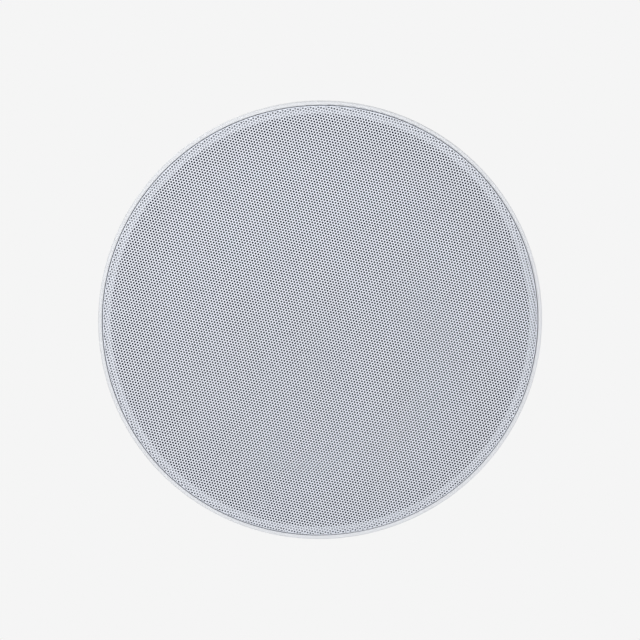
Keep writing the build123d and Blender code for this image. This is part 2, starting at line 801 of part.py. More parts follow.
def resistor():
    """The ceramic power resistor."""
    x = -POST_X - BOARD_HEAD_R
    y = POST_Y - 2 * BOBBIN_R - PART_GAP
    body = block(x, x + BRICK_X, y - BRICK_Y, y, PARTS_Z, PARTS_Z + BRICK_H)
    return chamfer(body.edges(), BRICK_EDGE)


def block_ends():
    """The terminal block's low x, high x, low y and high y."""
    x = BLOCK_X / 4
    y = -BOARD_Y / 2 - BLOCK_OUT
    return (x - BLOCK_X / 2, x + BLOCK_X / 2, y, y + BLOCK_Y)


def key_place(side):
    """The centre of a terminal's push button, on side -1 or 1."""
    x0, x1, y0, y1 = block_ends()
    return (x0 + x1) / 2 + side * BLOCK_X / 4, y1 - KEY_Y / 2 - KEY_BACK


def terminal_block():
    """The two-way spring terminal: button wells above, wire holes at the board's edge."""
    x0, x1, y0, y1 = block_ends()
    body = block(x0, x1, y0, y1, PARTS_Z, BLOCK_Z)
    body = chamfer(body.edges().group_by(Axis.Z)[-1], EDGE)
    floor = BLOCK_Z + KEY_UP - KEY_H - KEY_TRAVEL - RUN
    for side in (-1, 1):
        x, y = key_place(side)
        half_x = KEY_X / 2 + RUN
        half_y = KEY_Y / 2 + RUN
        body = body - block(x - half_x, x + half_x, y - half_y, y + half_y, floor, BLOCK_Z + EDGE)
        wire = Rot(-90, 0, 0) * disc(WIRE_R, -EDGE, WIRE_DEPTH)
        body = body - Pos(x, y0, PARTS_Z + WIRE_UP) * wire
    return body


def terminal_key(side):
    """One push button of the terminal."""
    x, y = key_place(side)
    top = BLOCK_Z + KEY_UP
    half_x = KEY_X / 2
    half_y = KEY_Y / 2
    key = block(x - half_x, x + half_x, y - half_y, y + half_y, top - KEY_H, top)
    return chamfer(key.edges().group_by(Axis.Z)[-1], EDGE)


def pieces():
    """Every node's name with its solid or solids."""
    found = {
        "frame": frame(),
        "grille": grille(),
        "grille_scrim": disc(LIP_IN_R - LIFT, SCRIM_Z, SCRIM_Z + SCRIM_T),
        "grille_magnets": grille_magnets(),
        "basket": basket(),
        "basket_gasket": basket_gasket(),
        "basket_screws": basket_screws(),
        "surround": surround(),
        "cone": cone(),
        "dust_cap": dust_cap(),
        "coil_former": coil_former(),
        "voice_coil": voice_coil(),
        "spider": spider(),
        "top_plate": top_plate(),
        "ring_magnet": ring_magnet(),
        "back_plate": back_plate(),
        "motor_screws": motor_screws(),
        "tag_strip": tag_strip(),
        "coil_tags": coil_tags(),
        "tweeter_bridge": tweeter_bridge(),
        "bridge_screws": bridge_screws(),
        "pivot_pins": pivot_pins(),
        "tweeter_housing": tweeter_housing(),
        "tweeter_face": tweeter_face(),
        "tweeter_dome": tweeter_dome(),
        "tweeter_coil": tweeter_coil(),
        "tweeter_cup": tweeter_cup(),
        "tweeter_magnet": tweeter_magnet(),
        "tweeter_pole": tweeter_pole(),
        "board_posts": board_posts(),
        "crossover_board": crossover_board(),
        "board_screws": board_screws(),
        "inductor_bobbin": inductor_bobbin(),
        "inductor_winding": inductor_winding(),
        "capacitors": capacitors(),
        "resistor": resistor(),
        "terminal_block": terminal_block(),
        "terminal_key_red": terminal_key(-1),
        "terminal_key_black": terminal_key(1),
    }
    for k in range(CLAMPS):
        turn = Rot(0, 0, CLAMP_TURN + 360 * k / CLAMPS)
        found[f"clamp_screw_{k + 1}"] = turn * clamp_screw()
        found[f"clamp_bush_{k + 1}"] = turn * clamp_bush()
        found[f"clamp_dog_{k + 1}"] = turn * clamp_dog()
    return found


def main():
    """Writes every node."""
    for name, shape in pieces().items():
        solids = Compound(shape) if isinstance(shape, list) else shape
        export_step(solids, f"parts/{name}.step")


main()
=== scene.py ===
"""Dresses a round in-ceiling speaker: grille, moulded frame, drivers, clamps and crossover."""

import logging
import math
from collections.abc import Mapping, Sequence
from dataclasses import dataclass, field
from enum import Enum
from functools import cache

import bmesh
import bpy
from mathutils import Matrix, Vector


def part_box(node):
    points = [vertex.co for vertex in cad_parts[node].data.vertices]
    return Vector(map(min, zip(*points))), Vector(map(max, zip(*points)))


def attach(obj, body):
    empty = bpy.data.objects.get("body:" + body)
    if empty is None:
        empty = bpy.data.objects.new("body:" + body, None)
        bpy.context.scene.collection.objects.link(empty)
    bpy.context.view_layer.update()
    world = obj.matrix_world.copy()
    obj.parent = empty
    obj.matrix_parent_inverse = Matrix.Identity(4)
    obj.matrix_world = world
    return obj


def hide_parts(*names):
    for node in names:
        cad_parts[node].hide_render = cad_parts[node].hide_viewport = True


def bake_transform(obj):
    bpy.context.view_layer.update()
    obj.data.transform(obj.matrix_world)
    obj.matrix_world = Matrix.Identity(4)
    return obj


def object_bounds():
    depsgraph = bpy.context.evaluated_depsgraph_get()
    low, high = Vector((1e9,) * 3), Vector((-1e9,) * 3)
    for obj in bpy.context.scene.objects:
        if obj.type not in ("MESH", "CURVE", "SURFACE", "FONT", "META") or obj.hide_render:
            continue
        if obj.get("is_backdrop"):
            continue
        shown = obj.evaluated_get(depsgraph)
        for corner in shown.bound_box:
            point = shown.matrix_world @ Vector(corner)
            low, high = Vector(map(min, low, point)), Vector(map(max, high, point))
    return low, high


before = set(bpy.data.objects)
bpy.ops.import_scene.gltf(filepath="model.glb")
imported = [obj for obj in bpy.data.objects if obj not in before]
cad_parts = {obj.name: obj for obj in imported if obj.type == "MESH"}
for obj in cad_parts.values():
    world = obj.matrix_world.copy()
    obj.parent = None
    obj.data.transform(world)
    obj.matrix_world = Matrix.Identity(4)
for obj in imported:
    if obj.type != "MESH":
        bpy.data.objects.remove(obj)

LOG = logging.getLogger("speaker")

Colour = tuple[float, float, float]
Settings = Mapping[str, object]
Inputs = Mapping[str | int, object]
Verts = list[bmesh.types.BMVert]
Parts = list[bmesh.types.BMVert | bmesh.types.BMEdge | bmesh.types.BMFace]

ORIGIN = (0, 0, 0)
AXIS = (0, 0, 1)
TOUCH = 1e-6  # Metres within which two points are taken as one.
NEAR = 1e-5  # Metres within which a turned point is taken to lie on its circle.
WAVE = math.pi / 10  # Width of one wave of a Wave Texture at a scale of 1.
OCTAVES = 3.0  # Detail of every noise.


class Along(Enum):
    """The axis that a striped pattern runs across."""

    X = "X"
    Y = "Y"
    Z = "Z"


class Side(Enum):
    """The end of a part, along X, that a lead comes out of."""

    LOW = -1
    HIGH = 1


class Value:
    """A shader value; arithmetic on it adds Math nodes."""

    def __init__(self, graph: "Graph", socket: bpy.types.NodeSocket) -> None:
        """Keeps the graph and the output socket."""
        self.graph = graph
        self.socket = socket

    def _math(self, operation: str, first: "Value | float", second: "Value | float") -> "Value":
        """Adds one Math node.

        Args:
            operation: Name of the Math node's operation.
            first: Left operand.
            second: Right operand.

        Returns:
            The node's result.
        """
        return self.graph.value("ShaderNodeMath", {"operation": operation}, {0: first, 1: second})

    def __add__(self, other: "Value | float") -> "Value":
        """Sum."""
        return self._math("ADD", self, other)

    def __radd__(self, other: float) -> "Value":
        """Sum with a number on the left."""
        return self._math("ADD", other, self)

    def __sub__(self, other: "Value | float") -> "Value":
        """Difference."""
        return self._math("SUBTRACT", self, other)

    def __rsub__(self, other: float) -> "Value":
        """Difference from a number."""
        return self._math("SUBTRACT", other, self)

    def __mul__(self, other: "Value | float") -> "Value":
        """Product."""
        return self._math("MULTIPLY", self, other)

    def __rmul__(self, other: float) -> "Value":
        """Product with a number on the left."""
        return self._math("MULTIPLY", other, self)

    def __lt__(self, other: "Value | float") -> "Value":
        """1 where it is the smaller, 0 elsewhere."""
        return self._math("LESS_THAN", self, other)


class Graph:
    """The nodes of one material or world."""

    def __init__(self, tree: bpy.types.NodeTree) -> None:
        """Empties the tree and keeps it."""
        tree.nodes.clear()
        self.tree = tree

    def node(self, kind: str, settings: Settings, inputs: Inputs) -> bpy.types.Node:
        """Adds any node.

        Args:
            kind: The node's type.
            settings: Properties to set first.
            inputs: Values or links by socket name or number.

        Returns:
            The new node.
        """
        made = self.tree.nodes.new(kind)
        for name, setting in settings.items():
            setattr(made, name, setting)
        for key, given in inputs.items():
            if isinstance(given, Value):
                self.tree.links.new(given.socket, made.inputs[key])
            else:
                made.inputs[key].default_value = given
        return made

    def value(self, kind: str, settings: Settings, inputs: Inputs, output: str | int = 0) -> Value:
        """Adds any node and takes one of its outputs.

        Args:
            kind: The node's type.
            settings: Properties to set first.
            inputs: Values or links by socket name or number.
            output: Name or number of the output.

        Returns:
            The output as a value.
        """
        return Value(self, self.node(kind, settings, inputs).outputs[output])

    def mix(self, factor: Value, low: Colour, high: Colour) -> Value:
        """Mixes two colours.

        Args:
            factor: Share of the second colour.
            low: First colour.
            high: Second colour.

        Returns:
            The mixed colour.
        """
        # The Mix node's colour sockets share their names with others, so they go by number.
        inputs = {0: factor, 6: (*low, 1), 7: (*high, 1)}
        return self.value("ShaderNodeMix", {"data_type": "RGBA"}, inputs, 2)

    def noise(self, place: Value, size: float) -> Value:
        """Cloudy noise.

        Args:
            place: Coordinates.
            size: Width of a cloud in metres.

        Returns:
            Noise from 0 to 1.
        """
        inputs = {"Vector": place, "Scale": 1 / size, "Detail": OCTAVES}
        return self.value("ShaderNodeTexNoise", {}, inputs)

    def stripes(self, place: Value, pitch: float, along: Along) -> Value:
        """Straight waves.

        Args:
            place: Coordinates.
            pitch: Width of one wave in metres.
            along: Axis that the waves follow each other on.

        Returns:
            Waves from 0 to 1.
        """
        settings = {"wave_type": "BANDS", "bands_direction": along.value}
        return self.value("ShaderNodeTexWave", settings, {"Vector": place, "Scale": WAVE / pitch})


@dataclass(frozen=True)
class Finish:
    """A surface with soft blotches of colour and gloss, and a fine grain.

    Attributes:
        name: The material's name.
        colour: Main colour.
        dark: Colour of blotches, and of a pattern's darker parts; in cloth, foam, wire and the
            moulding's recess these are painted shade.
        roughness: Mean roughness.
        smudge: How far the roughness varies.
        metallic: Metal share.
        coat: Weight of a clear coat.
        blotch: Width of a blotch in metres.
        mottle: Share of the dark colour in a blotch.
        grain: Width of a grain in metres.
        relief: Height of the grain in metres.
    """

    name: str
    colour: Colour
    dark: Colour
    roughness: float = 0.5
    smudge: float = 0.1
    metallic: float = 0.0
    coat: float = 0.0
    blotch: float = 0.02
    mottle: float = 0.25
    grain: float = 0.0003
    relief: float = 0.000008

    def pattern(self, graph: Graph, place: Value) -> tuple[Value | float, Value | float]:
        """The surface's own pattern.

        Args:
            graph: Nodes to add to.
            place: Object coordinates.

        Returns:
            How dark it is, from 0 to 1, and its height in metres.
        """
        return 0.0, 0.0

    @cache
    def material(self) -> bpy.types.Material:
        """Makes the material once.

        Returns:
            The material.
        """
        made = bpy.data.materials.new(self.name)
        made.use_nodes = True
        graph = Graph(made.node_tree)
        place = graph.value("ShaderNodeTexCoord", {}, {}, "Object")
        cloud = graph.noise(place, self.blotch)
        shade, height = self.pattern(graph, place)
        relief = graph.noise(place, self.grain) * self.relief + height
        bump = {"Strength": 1.0, "Distance": 1.0, "Height": relief}
        inputs = {
            "Base Color": graph.mix(cloud * self.mottle + shade, self.colour, self.dark),
            "Roughness": (cloud - 0.5) * self.smudge + self.roughness,
            "Metallic": self.metallic,
            "Coat Weight": self.coat,
            "Normal": graph.value("ShaderNodeBump", {}, bump),
        }
        surface = graph.value("ShaderNodeBsdfPrincipled", {}, inputs)
        graph.node("ShaderNodeOutputMaterial", {}, {"Surface": surface})
        return made


@dataclass(frozen=True)
class Woven(Finish):
    """Plain-woven cloth with threads along X and Y.

    Attributes:
        thread: Spacing of the threads in metres.
        shade: Share of the dark colour painted between the threads as shade.
        depth: Height of a thread's crown in metres.
    """

    thread: float = 0.0005
    shade: float = 0.8
    depth: float = 0.00008

    def pattern(self, graph: Graph, place: Value) -> tuple[Value | float, Value | float]:
        """Crowns where one thread passes over the other, with painted shade between them.

        Args:
            graph: Nodes to add to.
            place: Object coordinates.

        Returns:
            Darkness and height.
        """
        warp = graph.stripes(place, 2 * self.thread, Along.X)
        weft = graph.stripes(place, 2 * self.thread, Along.Y)
        crown = warp * weft + (1 - warp) * (1 - weft)
        # Painted shade: the colour darkens where the threads dip.
        return (1 - crown) * self.shade, crown * self.depth


@dataclass(frozen=True)
class Turned(Finish):
    """Metal with rings from the lathe about Z.

    Attributes:
        feed: Spacing of the rings in metres.
        wander: How far the rings stray from circles.
        detail: How finely they stray.
        shade: Share of the dark colour in a ring.
        depth: Height of a ring in metres.
    """

    feed: float = 0.0006
    wander: float = 0.7
    detail: float = 2.0
    shade: float = 0.15
    depth: float = 0.000006

    def pattern(self, graph: Graph, place: Value) -> tuple[Value | float, Value | float]:
        """Rings about the axis.

        Args:
            graph: Nodes to add to.
            place: Object coordinates.

        Returns:
            Darkness and height.
        """
        settings = {"wave_type": "RINGS", "rings_direction": "Z"}
        inputs = {"Vector": place, "Scale": WAVE / self.feed}
        inputs |= {"Distortion": self.wander, "Detail": self.detail}
        rings = graph.value("ShaderNodeTexWave", settings, inputs)
        return rings * self.shade, rings * self.depth


@dataclass(frozen=True)
class Wound(Finish):
    """Layers of enamelled wire wound about Z.

    Attributes:
        wire: Spacing of the turns in metres.
        shade: Share of the dark colour painted between turns as shade.
        depth: Depth between turns in metres.
    """

    wire: float = 0.001
    shade: float = 0.75
    depth: float = 0.00035

    def pattern(self, graph: Graph, place: Value) -> tuple[Value | float, Value | float]:
        """One ridge for each turn, with painted shade in the grooves between.

        Args:
            graph: Nodes to add to.
            place: Object coordinates.

        Returns:
            Darkness and height.
        """
        turns = graph.stripes(place, self.wire, Along.Z)
        # Painted shade: the colour darkens in the grooves between turns.
        return (1 - turns) * self.shade, turns * self.depth


@dataclass(frozen=True)
class Foamed(Finish):
    """Fine closed-cell foam.

    Attributes:
        cell: Width of a cell in metres.
        shade: Share of the dark colour painted into a cell's hollow as shade.
        depth: Depth of a cell in metres.
    """

    cell: float = 0.0009
    shade: float = 0.5
    depth: float = 0.0002

    def pattern(self, graph: Graph, place: Value) -> tuple[Value | float, Value | float]:
        """Round hollows with painted shade in them.

        Args:
            graph: Nodes to add to.
            place: Object coordinates.

        Returns:
            Darkness and height.
        """
        inputs = {"Vector": place, "Scale": 1 / self.cell}
        cells = graph.value("ShaderNodeTexVoronoi", {}, inputs, "Distance")
        # Painted shade: the colour darkens towards each cell's hollow middle.
        return (1 - cells) * self.shade, cells * self.depth


@dataclass(frozen=True)
class Etched(Finish):
    """A circuit board's lacquer over copper areas with etched gaps.

    Attributes:
        area: Width of a copper area in metres.
        gap: Width of a gap in metres.
        shade: Share of the dark colour in a gap.
        depth: Thickness of the copper in metres.
    """

    area: float = 0.017
    gap: float = 0.001
    shade: float = 0.7
    depth: float = 0.00006

    def pattern(self, graph: Graph, place: Value) -> tuple[Value | float, Value | float]:
        """Gaps that run straight and slanting between the areas.

        Args:
            graph: Nodes to add to.
            place: Object coordinates.

        Returns:
            Darkness and height.
        """
        near, far = (
            graph.value(
                "ShaderNodeTexVoronoi",
                {"voronoi_dimensions": "2D", "distance": "CHEBYCHEV", "feature": feature},
                {"Vector": place, "Scale": 1 / self.area},
                "Distance",
            )
            for feature in ("F1", "F2")
        )
        etched = far - near < self.gap / self.area
        return etched * self.shade, (1 - etched) * self.depth


@dataclass(frozen=True)
class RecessShadedMoulding(Finish):
    """A moulding with painted shade: its colour is darker in the recess behind the grille.

    Attributes:
        mouth: Radius of the recess in metres.
        floor: Level that the recess ends at in metres.
        recess_shade: Share of the dark colour painted into the recess as shade.
    """

    mouth: float = 0.11303
    floor: float = -0.001
    recess_shade: float = 0.8

    def pattern(self, graph: Graph, place: Value) -> tuple[Value | float, Value | float]:
        """Painted shade in the recess.

        Args:
            graph: Nodes to add to.
            place: Object coordinates.

        Returns:
            Darkness and height.
        """
        sides = {0: place, 1: (1, 1, 0)}
        flat = graph.value("ShaderNodeVectorMath", {"operation": "MULTIPLY"}, sides)
        reach = graph.value("ShaderNodeVectorMath", {"operation": "LENGTH"}, {0: flat}, "Value")
        level = graph.value("ShaderNodeSeparateXYZ", {}, {0: place}, "Z")
        # Painted shade: inside the recess the colour moves towards the dark colour by this share.
        return (reach < self.mouth) * (level < self.floor) * self.recess_shade, 0.0


PAINT = Finish(
    "grille_powder_coat", (0.84, 0.873, 0.953), (0.755, 0.785, 0.856),
    roughness=0.48, smudge=0.08, mottle=0.2, grain=0.00025, relief=0.000012,
)
# The dark colour serves both the blotches and the painted shade in the recess behind the grille.
WHITE = RecessShadedMoulding(
    "white_moulding", (0.745, 0.76, 0.79), (0.50, 0.515, 0.545),
    roughness=0.52, mottle=0.057, grain=0.0005, relief=0.000007,
)
SCRIM = Woven(
    "black_scrim", (0.015, 0.02, 0.045), (0.004, 0.006, 0.014),
    roughness=0.9, smudge=0.05, grain=0.0002, relief=0.00002, thread=0.00045, depth=0.00012,
)
NICKEL = Finish(
    "bright_nickel", (0.66, 0.63, 0.58), (0.45, 0.43, 0.4),
    roughness=0.24, smudge=0.14, metallic=1.0, blotch=0.004,
)
BLACK_PAINT = Finish(
    "black_stoved_steel", (0.022, 0.022, 0.024), (0.012, 0.012, 0.013),
    roughness=0.38, smudge=0.12, coat=0.15, grain=0.0009, relief=0.00002,
)
FOAM = Foamed(
    "grey_foam", (0.045, 0.046, 0.05), (0.015, 0.015, 0.017),
    roughness=0.92, smudge=0.05,
)
BLACK_ZINC = Finish(
    "black_zinc", (0.07, 0.07, 0.075), (0.03, 0.03, 0.033),
    roughness=0.36, smudge=0.15, metallic=0.9, blotch=0.003,
)
RUBBER = Finish(
    "butyl_rubber", (0.022, 0.022, 0.023), (0.012, 0.012, 0.012),
    roughness=0.62, smudge=0.12, blotch=0.012, grain=0.0004, relief=0.00001,
)
SPIDER_CLOTH = Woven(
    "woven_spider", (0.42, 0.26, 0.10), (0.15, 0.08, 0.025),
    roughness=0.85, smudge=0.05, thread=0.0006,
)
ZINC = Turned(
    "turned_zinc_plate", (0.62, 0.62, 0.60), (0.40, 0.40, 0.39),
    roughness=0.33, smudge=0.16, metallic=1.0, blotch=0.014, mottle=0.5,
)
FERRITE = Finish(
    "sintered_ferrite", (0.055, 0.055, 0.058), (0.024, 0.024, 0.026),
    roughness=0.6, smudge=0.2, blotch=0.006, mottle=0.7, grain=0.0007, relief=0.00004,
)
SCREW_ZINC = Finish(
    "zinc_screws", (0.60, 0.60, 0.58), (0.36, 0.36, 0.34),
    roughness=0.30, smudge=0.16, metallic=1.0, blotch=0.003, mottle=0.5,
)
PHENOLIC = Finish(
    "phenolic_strip", (0.16, 0.07, 0.03), (0.07, 0.028, 0.012),
    blotch=0.0015, mottle=0.8,
)
TINNED = Finish(
    "tinned_tags", (0.72, 0.70, 0.64), (0.50, 0.48, 0.42),
    roughness=0.28, smudge=0.15, metallic=1.0, blotch=0.002, mottle=0.5,
)
BLACK_MOULDING = Finish(
    "black_moulding", (0.024, 0.024, 0.026), (0.014, 0.014, 0.015),
    roughness=0.46, grain=0.0004, relief=0.000014,
)
NYLON = Finish(
    "natural_nylon", (0.66, 0.65, 0.60), (0.52, 0.51, 0.46),
    roughness=0.48, blotch=0.008, mottle=0.4,
)
BOARD = Etched(
    "etched_board", (0.015, 0.16, 0.06), (0.006, 0.06, 0.025),
    roughness=0.36, coat=0.3,
)
COPPER = Wound(
    "enamelled_copper", (0.78, 0.30, 0.12), (0.25, 0.07, 0.025),
    roughness=0.28, metallic=0.9, coat=0.6, blotch=0.006,
)
FINE_COPPER = Wound(
    "fine_copper", (0.74, 0.28, 0.12), (0.25, 0.07, 0.03),
    roughness=0.3, metallic=0.9, coat=0.5, wire=0.0003, depth=0.0001,
)
FILM = Finish(
    "yellow_film", (0.76, 0.46, 0.05), (0.55, 0.30, 0.03),
    roughness=0.3, smudge=0.14, coat=0.4, blotch=0.007, mottle=0.5,
)
CERAMIC = Finish(
    "white_ceramic", (0.62, 0.60, 0.55), (0.42, 0.40, 0.36),
    roughness=0.8, blotch=0.0016, mottle=0.7, grain=0.0005, relief=0.00005,
)
POLY_CONE = Finish(
    "filled_poly_cone", (0.035, 0.035, 0.038), (0.016, 0.016, 0.018),
    roughness=0.4, smudge=0.16, blotch=0.006, mottle=0.6, grain=0.0006, relief=0.00001,
)
FOIL = Finish(
    "amber_film", (0.40, 0.17, 0.03), (0.22, 0.08, 0.012),
    roughness=0.3, coat=0.4,
)
SILK = Woven(
    "coated_silk", (0.05, 0.05, 0.055), (0.02, 0.02, 0.022),
    roughness=0.55, thread=0.0003, depth=0.00004,
)
RED_KEY = Finish(
    "red_button", (0.52, 0.02, 0.018), (0.36, 0.012, 0.01),
    roughness=0.38, blotch=0.004,
)
BLACK_KEY = Finish(
    "black_button", (0.02, 0.02, 0.022), (0.01, 0.01, 0.011),
    roughness=0.38, blotch=0.004,
)
BRASS = Finish(
    "turned_brass", (0.72, 0.52, 0.22), (0.48, 0.32, 0.12),
    roughness=0.3, smudge=0.14, metallic=1.0, blotch=0.003, mottle=0.5,
)


def dress(finish: Finish, *nodes: str) -> None:
    """Gives CAD nodes a finish.

    Args:
        finish: The surface.
        nodes: Names of the nodes.
    """
    for node in nodes:
        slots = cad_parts[node].data.materials
        slots.clear()
        slots.append(finish.material())
        LOG.info("%s: %s", node, finish.name)


def settle(
    mesh: bmesh.types.BMesh, name: str, finish: Finish, sharp: float = 35.0
) -> bpy.types.Object:
    """Turns a bmesh into a finished object at the origin.

    Args:
        mesh: The shape, which is freed.
        name: The piece's name.
        finish: Its surface.
        sharp: Angle in degrees above which an edge stays sharp.

    Returns:
        The object, riding on nothing yet.
    """
    for edge in mesh.edges:
        edge.smooth = edge.calc_face_angle(math.pi) < math.radians(sharp)
    for face in mesh.faces:
        face.smooth = True
    data = bpy.data.meshes.new(name)
    mesh.to_mesh(data)
    mesh.free()
    data.materials.append(finish.material())
    made = bpy.data.objects.new(name, data)
    bpy.context.scene.collection.objects.link(made)
    LOG.info("%s: %d faces, %s", name, len(data.polygons), finish.name)
    return made


def grey(level: float) -> tuple[float, float, float, float]:
    """An opaque grey."""
    return (level, level, level, 1.0)


def everything(mesh: bmesh.types.BMesh) -> Parts:
    """All of a mesh's vertices, edges and faces."""
    return [*mesh.verts, *mesh.edges, *mesh.faces]


def repeat(mesh: bmesh.types.BMesh, step: Sequence[float], count: int) -> None:
    """Copies all of a mesh along a straight line.

    Args:
        mesh: The shape to repeat.
        step: Move from one copy to the next.
        count: How many there are in the end.
    """
    bmesh.ops.spin(mesh, geom=everything(mesh), cent=ORIGIN, axis=AXIS, dvec=step, angle=0,
                   steps=count - 1, use_duplicate=True)


def chain(mesh: bmesh.types.BMesh, points: Sequence[tuple[float, float]]) -> None:
    """Adds a line of edges in the XZ plane.

    Args:
        mesh: The mesh to add to.
        points: Radius and level of each point.
    """
    verts = [mesh.verts.new((radius, 0, level)) for radius, level in points]
    for first, second in zip(verts, verts[1:]):
        mesh.edges.new((first, second))


def lathe(points: Sequence[tuple[float, float]], steps: int) -> bmesh.types.BMesh:
    """Turns a line about Z.

    Args:
        points: Radius and level of each point.
        steps: Faces round the axis.

    Returns:
        The turned surface, merged, with its normals made to agree.
    """
    mesh = bmesh.new()
    chain(mesh, points)
    bmesh.ops.spin(mesh, geom=everything(mesh), cent=ORIGIN, axis=AXIS, angle=math.tau,
                   steps=steps, use_merge=True)
    bmesh.ops.recalc_face_normals(mesh, faces=mesh.faces)
    return mesh


@dataclass
class Grille:
    """The perforated steel sheet, its folded edge and the cloth behind it.

    Attributes:
        pitch: Spacing of the holes.
        hole: Corner radius of a six-sided hole.
        flare: How much wider the punch leaves a hole at the back.
        sheet: Thickness of the steel.
        border: Width of the plain edge before the fold.
        fold: Width of the fold's rounding.
        fold_faces: Faces across the rounding.
        edge_faces: Faces round the folded edge.
        turn: Direction of the rows in degrees.
        start: A hole that the rows go through.
        bands: Pieces that the sheet is made in.
        spare: Cells that a row has past the sheet's width.
        margin: How far past the outline a corner is pulled in from, in pitches.
        weld: Distance within which corners are merged, in pitches.
        cloth_faces: Faces round the cloth.
        hem: Width of the cloth's glued edge, as a share of its radius.
        radius: Outer radius of the CAD node.
        front: Level of the CAD node's front.
        back: Level of the CAD node's back.
        limit: Radius that the holes reach to.
    """

    pitch: float = 0.00149
    hole: float = 0.000576
    flare: float = 1.22
    sheet: float = 0.0007
    border: float = 0.0004
    fold: float = 0.00035
    fold_faces: int = 4
    edge_faces: int = 360
    turn: float = 15.0
    start: tuple[float, float] = (-0.0063, -0.0036)
    bands: int = 4
    spare: int = 6
    margin: float = 1.2
    weld: float = 0.005
    cloth_faces: int = 256
    hem: float = 0.025
    radius: float = field(init=False)
    front: float = field(init=False)
    back: float = field(init=False)
    limit: float = field(init=False)

    def __post_init__(self) -> None:
        """Takes the outline from the CAD node."""
        low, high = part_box("grille")
        self.radius, self.front, self.back = high.x, low.z, high.z
        self.limit = self.radius - self.border

    def build(self) -> None:
        """Makes and places the sheet, the fold and the cloth."""
        for band in range(self.bands):
            self._keep(self._band(band), f"grille_sheet_{band + 1}")
        self._keep(self._fold(), "grille_fold")
        self._scrim()

    def _keep(self, mesh: bmesh.types.BMesh, name: str) -> None:
        """Finishes one piece of the sheet.

        Args:
            mesh: The shape.
            name: The piece's name.
        """
        made = settle(mesh, name, PAINT)
        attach(made, "frame")
        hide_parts("grille")

    def _cell(self) -> bmesh.types.BMesh:
        """One six-sided cell with a hole through it.

        Returns:
            The cell with its front at the sheet's front, facing down.
        """
        mesh = bmesh.new()
        bmesh.ops.create_circle(mesh, cap_ends=True, segments=6, radius=self.pitch / math.sqrt(3))
        inner = next(iter(mesh.faces))
        wide = self.pitch / 2 - self.hole * math.sqrt(3) / 2
        bmesh.ops.inset_individual(mesh, faces=[inner], thickness=wide, use_even_offset=True)
        ring = list(inner.edges)
        bmesh.ops.delete(mesh, geom=[inner], context="FACES_ONLY")
        wall = bmesh.ops.extrude_edge_only(mesh, edges=ring)["geom"]
        corners = [part for part in wall if isinstance(part, bmesh.types.BMVert)]
        bmesh.ops.translate(mesh, verts=corners, vec=(0, 0, self.sheet))
        bmesh.ops.scale(mesh, verts=corners, vec=(self.flare, self.flare, 1))
        bmesh.ops.recalc_face_normals(mesh, faces=mesh.faces)
        front = max(mesh.faces, key=lambda face: abs(face.normal.z))
        if front.normal.z > 0:
            bmesh.ops.reverse_faces(mesh, faces=mesh.faces)
        bmesh.ops.translate(mesh, verts=mesh.verts, vec=(0, 0, self.front))
        return mesh

    def _band(self, band: int) -> bmesh.types.BMesh:
        """One band of rows, cut to the sheet's outline.

        Args:
            band: Number of the band.

        Returns:
            The band's mesh.
        """
        mesh = self._cell()
        deep = self.pitch * math.sqrt(3)
        columns = 2 * math.ceil((self.radius + abs(self.start[0])) / self.pitch) + self.spare
        pairs = math.ceil(2 * (self.radius + abs(self.start[1]) + deep) / deep / self.bands)
        corner = (-columns / 2 * self.pitch, (band - self.bands / 2) * pairs * deep, 0)
        bmesh.ops.translate(mesh, verts=mesh.verts, vec=corner)
        repeat(mesh, (self.pitch, 0, 0), columns)
        repeat(mesh, (self.pitch / 2, deep / 2, 0), 2)
        repeat(mesh, (0, deep, 0), pairs)
        turn = Matrix.Rotation(math.radians(self.turn), 3, "Z")
        bmesh.ops.rotate(mesh, verts=mesh.verts, cent=ORIGIN, matrix=turn)
        bmesh.ops.translate(mesh, verts=mesh.verts, vec=(*self.start, 0))
        self._trim(mesh)
        return mesh

    def _trim(self, mesh: bmesh.types.BMesh) -> None:
        """Cuts a field of cells to the sheet's round outline.

        Args:
            mesh: The field.
        """
        far = self.limit + self.margin * self.pitch
        outside = [vert for vert in mesh.verts if vert.co.xy.length > far]
        bmesh.ops.delete(mesh, geom=outside, context="VERTS")
        for vert in mesh.verts:
            reach = vert.co.xy.length
            if reach > self.limit:
                vert.co.xy *= self.limit / reach
        edge = self.limit - TOUCH
        lost = [face for face in mesh.faces if all(v.co.xy.length > edge for v in face.verts)]
        bmesh.ops.delete(mesh, geom=lost, context="FACES")
        weld = self.weld * self.pitch
        bmesh.ops.remove_doubles(mesh, verts=mesh.verts, dist=weld)
        bmesh.ops.dissolve_degenerate(mesh, edges=mesh.edges, dist=weld)

    def _fold(self) -> bmesh.types.BMesh:
        """The plain border and the edge folded back into the groove.

        Returns:
            The ring's mesh.
        """
        inner = self.radius - self.sheet
        rear = self.front + self.sheet
        mesh = lathe([
            (self.limit, self.front),
            (self.radius, self.front),
            (self.radius, self.back),
            (inner, self.back),
            (inner, rear),
        ], self.edge_faces)
        bend = [edge for edge in mesh.edges if all(self._on_bend(vert) for vert in edge.verts)]
        bmesh.ops.bevel(mesh, geom=bend, offset=self.fold, segments=self.fold_faces, profile=0.5,
                        affect="EDGES", material=-1)
        return mesh

    def _on_bend(self, vert: bmesh.types.BMVert) -> bool:
        """Whether a vertex lies on the front outer corner."""
        return vert.co.xy.length > self.radius - NEAR and vert.co.z < self.front + NEAR

    def _scrim(self) -> None:
        """The black cloth stretched behind the sheet."""
        low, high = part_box("grille_scrim")
        mesh = bmesh.new()
        place = Matrix.Translation((0, 0, (low.z + high.z) / 2))
        bmesh.ops.create_circle(mesh, cap_ends=True, segments=self.cloth_faces, radius=high.x,
                                matrix=place)
        bmesh.ops.inset_individual(mesh, faces=list(mesh.faces), thickness=high.x * self.hem)
        made = settle(mesh, "grille_cloth", SCRIM)
        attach(made, "frame")
        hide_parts("grille_scrim")


@dataclass
class Moulding:
    """The white moulded frame with its grille magnets."""

    def build(self) -> None:
        """Dresses the frame and the magnets."""
        dress(WHITE, "frame")
        dress(NICKEL, "grille_magnets")


